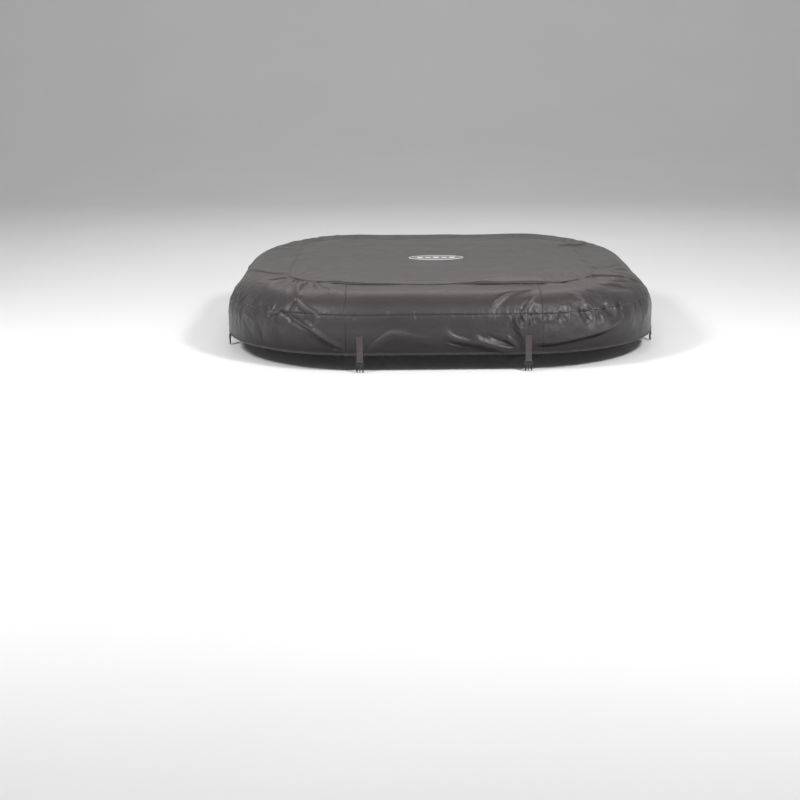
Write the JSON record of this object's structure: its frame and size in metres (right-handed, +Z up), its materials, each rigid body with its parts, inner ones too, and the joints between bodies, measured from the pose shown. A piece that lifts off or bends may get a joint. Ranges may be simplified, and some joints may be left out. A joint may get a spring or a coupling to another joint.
{
  "type": "spa cover",
  "caption": "Square fitted cover for an inflatable spa: sewn coated-fabric skin with a raised middle, skirt, webbing straps with buckle plugs, and a zipped pocket holding an inflatable lid.",
  "frame": {"origin": "middle of the plane in which the crest of the tub's rim lies, where the cover rests", "axes": "+Z up, away from the tub; -Y towards the side that the picture shows; +X to that side's right"},
  "size_m": [1.8278, 1.8278, 0.3257],
  "materials": {
    "skin": "satin charcoal coated fabric with a fine leather grain",
    "hem_tape": "matte woven binding tape, dark brown",
    "webbing": "matte woven webbing, dark brown grey",
    "buckle": "satin black moulded plastic",
    "bladder": "satin pale grey vinyl",
    "liner": "satin grey coated nylon",
    "zip_tape": "matte black zip tape and coil",
    "zip_metal": "nickel-plated die casting",
    "valve": "satin pale grey soft vinyl",
    "patch": "satin light grey welded vinyl, plain"
  },
  "bodies": {
    "cover": {"top_panel": "skin", "band_front": "skin", "band_right": "skin", "band_back": "skin", "band_left": "skin", "band_corner_front_right": "skin", "band_corner_back_right": "skin", "band_corner_back_left": "skin", "band_corner_front_left": "skin", "skirt_front": "skin", "skirt_right": "skin", "skirt_back": "skin", "skirt_left": "skin", "skirt_corner_front_right": "skin", "skirt_corner_back_right": "skin", "skirt_corner_back_left": "skin", "skirt_corner_front_left": "skin", "hem_binding": "hem_tape", "top_patch": "patch", "air_lid": "bladder", "pocket_liner": "liner", "zip_chain": "zip_tape", "valve_base": "valve", "strap_tab_front_left": "webbing", "strap_tab_front_right": "webbing", "strap_tab_right_front": "webbing", "strap_tab_right_back": "webbing", "strap_tab_back_right": "webbing", "strap_tab_back_left": "webbing", "strap_tab_left_back": "webbing", "strap_tab_left_front": "webbing"},
    "strap_front_left": {"strap_front_left": "webbing"},
    "plug_front_left": {"plug_front_left": "buckle"},
    "strap_front_right": {"strap_front_right": "webbing"},
    "plug_front_right": {"plug_front_right": "buckle"},
    "strap_right_front": {"strap_right_front": "webbing"},
    "plug_right_front": {"plug_right_front": "buckle"},
    "strap_right_back": {"strap_right_back": "webbing"},
    "plug_right_back": {"plug_right_back": "buckle"},
    "strap_back_right": {"strap_back_right": "webbing"},
    "plug_back_right": {"plug_back_right": "buckle"},
    "strap_back_left": {"strap_back_left": "webbing"},
    "plug_back_left": {"plug_back_left": "buckle"},
    "strap_left_back": {"strap_left_back": "webbing"},
    "plug_left_back": {"plug_left_back": "buckle"},
    "strap_left_front": {"strap_left_front": "webbing"},
    "plug_left_front": {"plug_left_front": "buckle"},
    "zip_slider": {"zip_slider": "zip_metal"},
    "zip_pull": {"zip_pull": "zip_metal"},
    "valve_cap": {"valve_cap": "valve"},
    "valve_flap": {"valve_flap": "valve"}
  },
  "joints": [
    {"name": "strap_fold_front_left", "type": "hinge", "parent": "cover", "child": "strap_front_left", "pos_m": [-0.334, -0.91035, -0.24], "axis": [-1, 0, 0], "range_deg": [-60, 110]},
    {"name": "plug_swing_front_left", "type": "hinge", "parent": "strap_front_left", "child": "plug_front_left", "pos_m": [-0.334, -0.91035, -0.262], "axis": [-1, 0, 0], "range_deg": [-80, 80]},
    {"name": "strap_fold_front_right", "type": "hinge", "parent": "cover", "child": "strap_front_right", "pos_m": [0.334, -0.91035, -0.24], "axis": [-1, 0, 0], "range_deg": [-60, 110]},
    {"name": "plug_swing_front_right", "type": "hinge", "parent": "strap_front_right", "child": "plug_front_right", "pos_m": [0.334, -0.91035, -0.262], "axis": [-1, 0, 0], "range_deg": [-80, 80]},
    {"name": "strap_fold_right_front", "type": "hinge", "parent": "cover", "child": "strap_right_front", "pos_m": [0.91035, -0.334, -0.24], "axis": [0, -1, 0], "range_deg": [-60, 110]},
    {"name": "plug_swing_right_front", "type": "hinge", "parent": "strap_right_front", "child": "plug_right_front", "pos_m": [0.91035, -0.334, -0.262], "axis": [0, -1, 0], "range_deg": [-80, 80]},
    {"name": "strap_fold_right_back", "type": "hinge", "parent": "cover", "child": "strap_right_back", "pos_m": [0.91035, 0.334, -0.24], "axis": [0, -1, 0], "range_deg": [-60, 110]},
    {"name": "plug_swing_right_back", "type": "hinge", "parent": "strap_right_back", "child": "plug_right_back", "pos_m": [0.91035, 0.334, -0.262], "axis": [0, -1, 0], "range_deg": [-80, 80]},
    {"name": "strap_fold_back_right", "type": "hinge", "parent": "cover", "child": "strap_back_right", "pos_m": [0.334, 0.91035, -0.24], "axis": [1, 0, 0], "range_deg": [-60, 110]},
    {"name": "plug_swing_back_right", "type": "hinge", "parent": "strap_back_right", "child": "plug_back_right", "pos_m": [0.334, 0.91035, -0.262], "axis": [1, 0, 0], "range_deg": [-80, 80]},
    {"name": "strap_fold_back_left", "type": "hinge", "parent": "cover", "child": "strap_back_left", "pos_m": [-0.334, 0.91035, -0.24], "axis": [1, 0, 0], "range_deg": [-60, 110]},
    {"name": "plug_swing_back_left", "type": "hinge", "parent": "strap_back_left", "child": "plug_back_left", "pos_m": [-0.334, 0.91035, -0.262], "axis": [1, 0, 0], "range_deg": [-80, 80]},
    {"name": "strap_fold_left_back", "type": "hinge", "parent": "cover", "child": "strap_left_back", "pos_m": [-0.91035, 0.334, -0.24], "axis": [0, 1, 0], "range_deg": [-60, 110]},
    {"name": "plug_swing_left_back", "type": "hinge", "parent": "strap_left_back", "child": "plug_left_back", "pos_m": [-0.91035, 0.334, -0.262], "axis": [0, 1, 0], "range_deg": [-80, 80]},
    {"name": "strap_fold_left_front", "type": "hinge", "parent": "cover", "child": "strap_left_front", "pos_m": [-0.91035, -0.334, -0.24], "axis": [0, 1, 0], "range_deg": [-60, 110]},
    {"name": "plug_swing_left_front", "type": "hinge", "parent": "strap_left_front", "child": "plug_left_front", "pos_m": [-0.91035, -0.334, -0.262], "axis": [0, 1, 0], "range_deg": [-80, 80]},
    {"name": "zip_run", "type": "slide", "parent": "cover", "child": "zip_slider", "axis": [1, 0, 0], "range_m": [0, 0.876]},
    {"name": "zip_pull_swing", "type": "hinge", "parent": "zip_slider", "child": "zip_pull", "pos_m": [-0.438, -0.48, -0.1125], "axis": [0, 1, 0], "range_deg": [-85, 85]},
    {"name": "valve_cap_hinge", "type": "hinge", "parent": "cover", "child": "valve_cap", "pos_m": [0.3405, -0.27, -0.1012], "axis": [0, 1, 0], "range_deg": [0, 150]},
    {"name": "valve_flap_hinge", "type": "hinge", "parent": "cover", "child": "valve_flap", "pos_m": [0.3492, -0.27, -0.0882], "axis": [0, -1, 0], "range_deg": [0, 40]}
  ]
}
